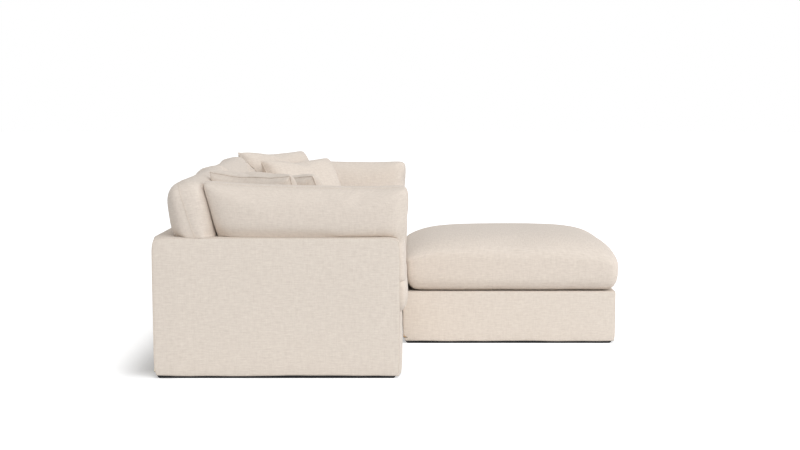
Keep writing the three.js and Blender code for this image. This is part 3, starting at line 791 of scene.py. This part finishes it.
def back_cushion(name):
    side, high = SIDES[name], BACK_TOPS[name] - CUSHION_FOOT
    left, right = span(name, LAP)
    middle = CUSHION_FOOT + high / 2
    back = MODULE - PANEL - BACK_SETBACK + (middle - PANEL_TOP) * math.tan(BACK_LEAN)
    place = placed(((left + right) / 2, front + back, middle), BACK_LEAN, roll=math.radians(BACK_ROLLS[name]))
    ends = [ROUND_END if side == way else FULL_END for way in (-1, 1)]
    return standing_cushion(f"{name}_back_cushion", right - left, high / math.cos(BACK_LEAN), place, 44, ends)


def arm_cushion(name):
    side, high = SIDES[name], ARM_TOP - CUSHION_FOOT
    middle = CUSHION_FOOT + high / 2
    across = ARM_MIDDLE - (middle - PANEL_TOP) * math.tan(ARM_LEAN)
    x = starts[name] + (across if side < 0 else MODULE - across)
    place = placed((x, front + (ARM_REAR - ARM_FRONT) / 2, middle), ARM_LEAN, -side * math.pi / 2,
                   side * ARM_RISE)
    return standing_cushion(f"{name}_arm_cushion", ARM_REAR + ARM_FRONT, high / math.cos(ARM_LEAN), place, 40,
                            (SOFT_END, FULL_END)[::-side], -side * ARM_TUCK)


cushions = [seat_cushion(name) for name in starts] + [ottoman_cushion()]
cushions += [back_cushion(name) for name in starts] + [arm_cushion("left"), arm_cushion("right")]
print("cushions", [c["name"] for c in cushions])

# %% [markdown]
# ## Throw pillows
# A throw pillow is two square sheets sewn round their edge and stuffed. Its form is full almost to its
# edges and a few millimetres thick at its seam, and its sides draw in between the corners, as the stuffing
# pulls them. After the filling, a hand's chop is pressed into its top edge, as such pillows are set out.

# %% Pillows
PILLOW_THICK, PILLOW_RIM, PILLOW_DRAW, PILLOW_CAP = 0.165, 0.003, 0.035, 0.014
PILLOWS = {
    "left_corner": dict(size=0.445, at=(-1.151, 0.596, 0.664), lean=33, turn=55, roll=-1, chop=(0.2, 0.004)),
    "left_front": dict(size=0.475, at=(-0.995, 0.464, 0.6465), lean=34, turn=45, roll=0, chop=(0.1, 0.016)),
    "right_corner": dict(size=0.500, at=(1.004, 0.662, 0.666), lean=32, turn=42, roll=1, chop=(-0.24, 0.006)),
    "right_front": dict(size=0.500, at=(0.860, 0.511, 0.628), lean=33, turn=45, roll=0, chop=(-0.15, 0.014)),
}


def pillow_form(unit, size):
    u, v, w = unit.T
    swell = np.sqrt(np.clip((1 - u ** 6) * (1 - w ** 6), 0, None))
    return np.stack([size / 2 * u * (1 - PILLOW_DRAW * (1 - w * w)),
                     v * (PILLOW_RIM + (PILLOW_THICK / 2 - PILLOW_RIM) * swell),
                     size / 2 * w * (1 - PILLOW_DRAW * (1 - u * u))], axis=1)


def pillow(name, size, at, lean, turn, roll, chop):
    """at is its middle, with y measured from the modules' front"""
    side = SIDES[name.split("_")[0]]
    place = placed((at[0], front + at[1], at[2]), math.radians(lean), -side * math.radians(turn),
                   math.radians(roll))
    bag = bag_of(name, (34, 2, 34), lambda unit: pillow_form(unit, size), (size / 2, 0.08, size / 2),
                 middle_seam, place, PILLOW_CAP, PILLOW_FILL)
    return bag | dict(size=size, chop=chop)


pillows = [pillow(f"{name}_pillow", **values) for name, values in PILLOWS.items()]
print("pillows", [p["name"] for p in pillows])

# %% [markdown]
# ## Filling
# Blender's cloth simulation fills all the cushions and pillows at once: each is a closed bag of cloth with
# pressure inside and no weight. The bags lie where they were cut and don't see each other. They only round
# out, so a cap holds each point near its form, and each is then brought back to the size that it was cut
# for and moved to its place.

# %% Filling
FRAMES, FLATS = 20, (4, 96)
CLOTH = dict(quality=6, mass=0.22, tension_stiffness=22, compression_stiffness=22, shear_stiffness=8,
             bending_stiffness=0.8, air_damping=2.0, use_pressure=True, uniform_pressure_force=4.0,
             shrink_min=-0.012)


def filled_bags(bags):
    """The points of each bag after its cloth has been filled"""
    holders = []
    for bag in bags:
        name, points = bag["name"] + "_bag", bag["points"]
        holder = shown(name, cloth_mesh(name, points, bag["faces"], points, bag["axes"], bag["seam"]))
        cloth = holder.modifiers.new("cloth", "CLOTH")
        cloth.point_cache.frame_start, cloth.point_cache.frame_end = 1, FRAMES
        for key, value in CLOTH.items():
            setattr(cloth.settings, key, value)
        cloth.settings.effector_weights.gravity = 0
        cloth.collision_settings.use_collision = False
        cloth.collision_settings.use_self_collision = False
        holders.append(holder)
    for number in range(1, FRAMES + 1):
        scene.frame_set(number)
    graph = bpy.context.evaluated_depsgraph_get()
    found = [places_of(holder.evaluated_get(graph).data) for holder in holders]
    for holder in holders:
        bpy.data.objects.remove(holder)
    scene.frame_set(1)
    return found


def to_size(points, cut):
    """The points at the size that the cushion was cut to, measured between its flats and not its tips"""
    low, high = np.percentile(points, FLATS, axis=0)
    cut_low, cut_high = np.percentile(cut, FLATS, axis=0)
    return cut_low + (points - low) * (cut_high - cut_low) / (high - low)


def chopped(points, size, chop):
    """The chop in a pillow's top edge, which also spreads its cheeks. chop gives its place and its depth"""
    at, deep = chop
    u, w = points[:, 0] / (size / 2), np.clip((points[:, 2] / (size / 2) + 1) / 2, 0, 1)
    dent = deep * np.exp(-((u - at) / 0.2) ** 2) * w ** 5
    broad = 0.5 * deep * np.exp(-((u - at) / 0.6) ** 2) * w ** 3
    points[:, 2] -= dent + broad
    points[:, 1] *= 1 + 1.2 * dent
    return points


bags = cushions + pillows
found = filled_bags(bags)
for bag, points in zip(bags, found):
    cut = bag["points"]
    step = points - cut
    length = np.linalg.norm(step, axis=1, keepdims=True)
    soft = bag["cap"] * np.tanh(length / bag["cap"]) * bag.get("free", 1.0)
    points = to_size(cut + step * soft / np.maximum(length, 1e-9), cut)
    if "chop" in bag:
        points = chopped(points, bag["size"], bag["chop"])
    bag["points"] = moved(points, bag["place"])
    print(bag["name"], "filled", [round(float(v), 3) for v in np.ptp(points, axis=0)])

# %% [markdown]
# ## Pressing the pieces together
# The cushions lean on the panels, lie on the deck and press on each other. A cushion set down earlier keeps
# its form, and the next one gives way: each of its points that lies inside a neighbour goes out to the
# neighbour's surface, and the push fades into the cloth around it, so that the contact looks soft. The
# order is the order in which someone would set them: covers, seats, backs, arms, and the throw pillows
# last.

# %% Pressing
CLOTH_GAP = 0.0007


def surface(mesh, middle=None):
    """The surface to press on. Where a middle is given, only the faces that look up or towards it, so that a
    cushion that starts deep in a panel comes out on its own side"""
    kept = [tuple(face.vertices) for face in mesh.polygons
            if middle is None or face.normal.z > 0.5 or (middle - face.center).xy.dot(face.normal.xy) > 0]
    return BVHTree.FromPolygons([v.co for v in mesh.vertices], kept), mesh_box(mesh)


def mesh_box(mesh):
    places = places_of(mesh)
    return places.min(axis=0), places.max(axis=0)


def pushes(points, neighbours, reach):
    """How far each point has to go to leave its neighbours, and which points have to"""
    push, caught = np.zeros_like(points), np.zeros(len(points), bool)
    for tree, (low, high) in neighbours:
        near = np.all((points > low - CLOTH_GAP) & (points < high + CLOTH_GAP), axis=1)
        for i in np.flatnonzero(near):
            spot = Vector(points[i] + push[i])
            place, normal, _, far = tree.find_nearest(spot, reach)
            if place is not None and (spot - place).dot(normal) < CLOTH_GAP:
                push[i] += np.array(place + normal * CLOTH_GAP - spot)
                caught[i] = True
    return push, caught


def pressed(mesh, neighbours, rounds=2, reach=0.13, fade=0.9, spread_rings=14):
    points = places_of(mesh)
    ends = np.empty(len(mesh.edges) * 2, dtype=int)
    mesh.edges.foreach_get("vertices", ends)
    a, b = ends.reshape(-1, 2).T
    degree = np.bincount(np.concatenate([a, b]), minlength=len(points))[:, None]
    for _ in range(rounds):
        push, caught = pushes(points, neighbours, reach)
        if not caught.any():
            break
        spread = push.copy()
        for _ in range(spread_rings):
            around = np.zeros_like(spread)
            np.add.at(around, a, spread[b])
            np.add.at(around, b, spread[a])
            spread = np.where(caught[:, None], push, fade * around / degree)
        points = points + spread
    push, caught = pushes(points, neighbours, reach)
    put(mesh, points + push)
    return int(caught.sum())


# %% [markdown]
# The covers are finished first, because everything leans on them: one subdivision turns their ruled edges
# into soft ones, and the outside is kept as the surface to press on, before Solidify adds the inside. Its
# flat size is reckoned: its width and twice its height, by a length that leaves a quarter more than the
# area for what the cut leaves over.

# %% Finished covers
COVER_THICK, CUT_OVER = 0.004, 1.25


def finished(name, mesh, finish, nodes=()):
    mesh.materials.clear()
    mesh.materials.append(finish)
    mesh.shade_smooth()
    piece = shown(name, mesh)
    if nodes:
        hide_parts(*nodes)
    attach(piece, "root")
    return piece


cover_surfaces, pieces = {}, {}
for name, skin in cover_skins.items():
    outside = modified(skin, f"{name}_slipcover_outside", "SUBSURF", levels=1, render_levels=1)
    low, high = mesh_box(outside)
    cover_surfaces[name] = surface(outside, Vector((low + high) / 2))
    label = f"{name}_slipcover_cloth"
    cloth = modified(outside, label, "SOLIDIFY", thickness=COVER_THICK, offset=-1, use_rim=True)
    piece = finished(label, cloth, linen_cover, [f"{name}_slipcover"])
    pieces[name] = (piece, outside)

# %% [markdown]
# The cushions and pillows follow in order. Each is pressed against what is already there, its seam is drawn
# in a few millimetres, one subdivision smooths it, and a slow unevenness takes away the look of a machine-
# made form.

# %% Finished cushions
SEAM_DRAW, UNEVEN = 0.0035, 0.0022


def set_beside():
    """What each cushion presses on: those set down before it that it can reach"""
    beside, before = {"ottoman_cushion": ["left_seat_cushion", "middle_seat_cushion"]}, None
    for module in starts:
        seat, back = f"{module}_seat_cushion", f"{module}_back_cushion"
        beside[seat] = [f"{before}_seat_cushion"] if before else []
        beside[back] = [seat] + ([f"{before}_back_cushion"] if before else [])
        before = module
    for side in ("left", "right"):
        around = [f"{side}_{kind}_cushion" for kind in ("seat", "back", "arm")]
        beside[f"{side}_arm_cushion"] = around[:2]
        beside[f"{side}_corner_pillow"] = around + ["middle_back_cushion"]
        beside[f"{side}_front_pillow"] = around + [f"{side}_corner_pillow", "middle_seat_cushion"]
    return beside


next_to, soft_surfaces = set_beside(), {}
for number, bag in enumerate(bags):
    name = bag["name"]
    is_pillow = "pillow" in name
    flat = bag["unit"] * np.array(bag["half"])
    mesh = cloth_mesh(name + "_fabric", bag["points"], bag["faces"], flat, bag["axes"], bag["seam"])
    covers = [cover_surfaces[name.split("_")[0]]] + ([cover_surfaces["middle"]] if is_pillow else [])
    beside = covers + [soft_surfaces[n] for n in next_to[name]]
    caught = pressed(mesh, beside, fade=0.6 if "back" in name else 0.9)
    if not is_pillow:
        points = places_of(mesh)
        points[bag["seam"]] -= places_of(mesh, "normal")[bag["seam"]] * SEAM_DRAW
        put(mesh, points)
    smooth = modified(mesh, name + "_fabric", "SUBSURF", levels=1, render_levels=1)
    points, normals = places_of(smooth), places_of(smooth, "normal")
    uneven = np.array([undulation(p, 11 + number) for p in points])
    put(smooth, points + normals * (UNEVEN * uneven)[:, None])
    pressed(smooth, beside, rounds=1, reach=0.05, spread_rings=3)
    soft_surfaces[name] = surface(smooth)
    piece = finished(name + "_fabric", smooth, linen_cushion, [name])
    pieces[name] = (piece, smooth)
    print(piece.name, len(smooth.polygons), "quads", caught, "points pressed")

# %% [markdown]
# ## Seams and stitches
# A seam follows the marked points of each piece, so Geometry Nodes make it: the marked edges become a
# curve, and a small round profile swept along it gives the folded seam of a cushion or the piping of a
# pillow. Trees of a second kind set stitches on both sides of the covers' seams and along their hems, at an
# even pitch, each turned along the seam and laid on the cloth.

# %% Trees that follow the seams
STITCH_ASIDE = 0.005


def tree_with(name, sockets):
    """A node tree with a geometry input and output and the named inputs, and their identifiers"""
    tree = bpy.data.node_groups.new(name, "GeometryNodeTree")
    tree.interface.new_socket("Geometry", in_out="INPUT", socket_type="NodeSocketGeometry")
    found = {}
    for label, kind in sockets.items():
        socket = tree.interface.new_socket(label, in_out="INPUT", socket_type=f"NodeSocket{kind}")
        found[label] = socket.identifier
    tree.interface.new_socket("Geometry", in_out="OUTPUT", socket_type="NodeSocketGeometry")
    return tree, found, node_of(tree, "NodeGroupInput"), node_of(tree, "NodeGroupOutput")


def marked_curve(tree, given):
    mark = linked(tree, "InputNamedAttribute", {"Name": given.outputs["Mark"]}, "Attribute",
                  data_type="FLOAT")
    on_seam = linked(tree, "FunctionNodeCompare", {"A": mark, "B": 0.99}, 0, data_type="FLOAT",
                     operation="GREATER_THAN")
    return linked(tree, "MeshToCurve", {"Mesh": given.outputs["Geometry"], "Selection": on_seam})


def ended(tree, given, out, geometry):
    """Ends a tree: what it made becomes real faces with their finish"""
    whole = linked(tree, "RealizeInstances", {"Geometry": geometry})
    finish = given.outputs["Finish"]
    painted = linked(tree, "SetMaterial", {"Geometry": whole, "Material": finish})
    tree.links.new(painted, out.inputs[0])
    return tree


def seam_tree():
    tree, found, given, out = tree_with("folded_seam", {"Mark": "String", "Radius": "Float", "Sides": "Int",
                                                        "Finish": "Material"})
    ring = linked(tree, "CurvePrimitiveCircle",
                  {"Resolution": given.outputs["Sides"], "Radius": given.outputs["Radius"]}, mode="RADIUS")
    inputs = {"Curve": marked_curve(tree, given), "Profile Curve": ring, "Fill Caps": True}
    return ended(tree, given, out, linked(tree, "CurveToMesh", inputs)), found


def stitch_row(tree, given, points, offset):
    """Stitches on the cloth, a set distance to one side of the curve"""
    cloth, wide = given.outputs["Geometry"], given.outputs["Thickness"]
    normal = linked(tree, "InputNormal")
    normal = linked(tree, "SampleNearestSurface", {"Mesh": cloth, "Value": normal},
                    data_type="FLOAT_VECTOR")
    along = linked(tree, "InputTangent")
    aside = linked(tree, "ShaderNodeVectorMath", {0: normal, 1: along}, operation="CROSS_PRODUCT")
    step = linked(tree, "ShaderNodeVectorMath", {0: aside, "Scale": offset}, operation="SCALE")
    row = linked(tree, "SetPosition", {"Geometry": points, "Offset": step})
    nearest = linked(tree, "Proximity", {0: cloth}, 0, target_element="FACES")
    row = linked(tree, "SetPosition", {"Geometry": row, "Position": nearest})
    bead = linked(tree, "MeshUVSphere", {"Segments": 5, "Rings": 4, "Radius": 0.5})
    size = linked(tree, "ShaderNodeCombineXYZ", {"X": given.outputs["Length"], "Y": wide, "Z": wide})
    bead = linked(tree, "Transform", {"Geometry": bead, "Scale": size})
    turned = linked(tree, "FunctionNodeAlignRotationToVector", {"Vector": along}, axis="X")
    turned = linked(tree, "FunctionNodeAlignRotationToVector", {"Rotation": turned, "Vector": normal},
                    axis="Z", pivot_axis="X")
    return linked(tree, "InstanceOnPoints", {"Points": row, "Instance": bead, "Rotation": turned})


def stitch_tree(offsets):
    tree, found, given, out = tree_with("stitches", {"Mark": "String", "Pitch": "Float", "Length": "Float",
                                                     "Thickness": "Float", "Finish": "Material"})
    spaced = linked(tree, "ResampleCurve",
                    {"Curve": marked_curve(tree, given), "Length": given.outputs["Pitch"]}, mode="LENGTH")
    joined = node_of(tree, "JoinGeometry")
    for offset in offsets:
        tree.links.new(stitch_row(tree, given, spaced, offset), joined.inputs[0])
    return ended(tree, given, out, joined.outputs[0]), found


def made_along(mesh, name, tree, found, **values):
    """What the tree makes from a mesh, as a plain mesh"""
    holder = shown("working", mesh)
    modifier = holder.modifiers.new("along", "NODES")
    modifier.node_group = tree
    for label, value in values.items():
        modifier[found[label]] = value
    return as_mesh(holder, name)


folded_seam, seam_inputs = seam_tree()
side_stitches, side_inputs = stitch_tree((-STITCH_ASIDE, STITCH_ASIDE))
hem_stitches, hem_inputs = stitch_tree((0.0,))
print("trees", [t.name for t in (folded_seam, side_stitches, hem_stitches)])

# %% Seams and stitches
STITCH = dict(Pitch=0.0085, Length=0.006, Thickness=0.0011, Finish=sewing_thread)
COVER_SEAM, CUSHION_SEAM, PILLOW_PIPING = 0.0012, 0.0016, 0.003
for name, (piece, base) in pieces.items():
    is_cover = name in cover_surfaces
    radius = COVER_SEAM if is_cover else PILLOW_PIPING if "pillow" in name else CUSHION_SEAM
    label = piece.name.replace("_cloth", "").replace("_fabric", "")
    seam = made_along(base, f"{label}_seam", folded_seam, seam_inputs, Mark="seam", Radius=radius, Sides=6,
                      Finish=linen_seam)
    finished(f"{label}_seam", seam, linen_seam)
    count = len(seam.polygons)
    if is_cover:
        for kind, mark, tree, inputs in (("stitches", "seam", side_stitches, side_inputs),
                                         ("hem_stitches", "hem", hem_stitches, hem_inputs)):
            rows = made_along(base, f"{label}_{kind}", tree, inputs, Mark=mark, **STITCH)
            finished(f"{label}_{kind}", rows, sewing_thread)
            count += len(rows.polygons)
    print(label, "seam and stitch faces", count)

# %% [markdown]
# ## How far it stands proud
# The box of the visual model is measured, and how far it stands beyond the imported model's box on each
# side is printed, in millimetres. The visual model may stand only a little proud of the imported one.

# %% Size
visual_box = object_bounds()
proud = [v - c for cad, now in zip(cad_box, visual_box) for c, v in zip(cad, now)]
print("proud by", [round(far * 1000, 1) for far in proud], "mm")
